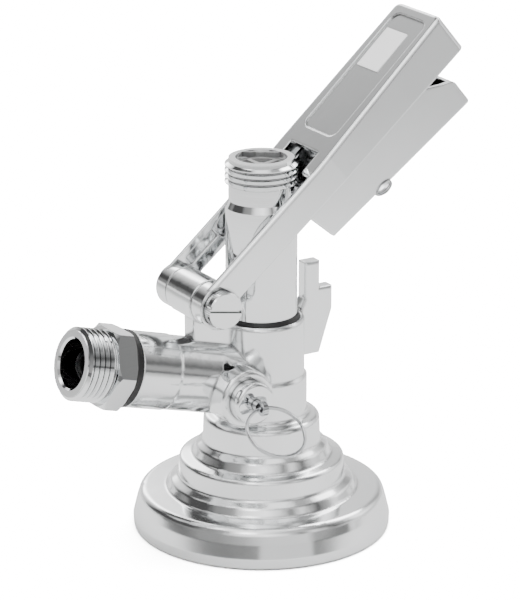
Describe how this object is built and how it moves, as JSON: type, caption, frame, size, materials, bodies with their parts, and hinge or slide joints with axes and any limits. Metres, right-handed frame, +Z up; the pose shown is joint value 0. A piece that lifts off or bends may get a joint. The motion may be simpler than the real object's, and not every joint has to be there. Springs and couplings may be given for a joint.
{
  "type": "keg coupler",
  "caption": "Keg coupler with a stepped bell base, sliding probe, threaded outlet and gas inlet, raised lever with release trigger and pull-ring relief valve.",
  "frame": {"origin": "centre of the bell's open mouth, in the plane of its rim", "axes": "+Z up along the probe's axis, +X towards the lever's grip, Y along the hinge pin with its head at -Y"},
  "size_m": [0.1404, 0.0842, 0.1606],
  "materials": {
    "casting": "satin",
    "bright": "bright",
    "steel": "smooth",
    "rubber": "matt",
    "plastic": "gloss",
    "label": "gloss"
  },
  "bodies": {
    "housing": {"body_casting": "casting", "keg_seal": "rubber", "rod_seal": "rubber", "wiper_seal": "rubber", "inlet_washer": "rubber", "inlet_nipple": "bright", "gas_check": "rubber", "hinge_pin": "steel", "hinge_clip": "steel", "relief_cap": "bright", "relief_spring": "steel"},
    "stem": {"relief_stem": "steel", "relief_seal": "rubber"},
    "ring": {"pull_ring": "steel"},
    "probe": {"probe_tube": "bright", "trunnion_pins": "steel", "tip_seal": "rubber", "tube_seal": "rubber", "ball_retainer": "plastic"},
    "ball": {"beer_ball": "plastic"},
    "handle": {"lever": "bright", "label_plate": "label", "trigger_pin": "steel", "spring_sleeve": "steel", "trigger_spring": "steel"},
    "release": {"trigger": "bright", "latch_bar": "steel", "stop_screw": "steel"}
  },
  "joints": [
    {"name": "lever_hinge", "type": "hinge", "parent": "housing", "child": "handle", "pos_m": [-0.023, 0, 0.08], "axis": [0, 1, 0], "range_deg": [0, 45]},
    {"name": "probe_slide", "type": "slide", "parent": "housing", "child": "probe", "axis": [0, 0, -1], "range_m": [0, 0.0217]},
    {"name": "ball_lift", "type": "slide", "parent": "probe", "child": "ball", "axis": [0, 0, 1], "range_m": [0, 0.002]},
    {"name": "trigger_pivot", "type": "hinge", "parent": "handle", "child": "release", "pos_m": [0.02444, 0, 0.11837], "axis": [0, -1, 0], "range_deg": [0, 5], "stiffness_Nm_per_rad": 0.5, "springref_deg": -11.46, "deforming": ["trigger_spring"]},
    {"name": "relief_pull", "type": "slide", "parent": "housing", "child": "stem", "axis": [0, -1, 0], "range_m": [0, 0.0015], "stiffness_N_per_m": 500, "springref_m": -0.004, "deforming": ["relief_spring"]},
    {"name": "ring_swing", "type": "hinge", "parent": "stem", "child": "ring", "pos_m": [-0.0156, -0.027, 0.05], "axis": [1, 0, 0], "range_deg": [-34, 56]}
  ],
  "couplings": [
    {"joint": "probe_slide", "follows": "lever_hinge", "m_per_rad": 0.027629}
  ]
}
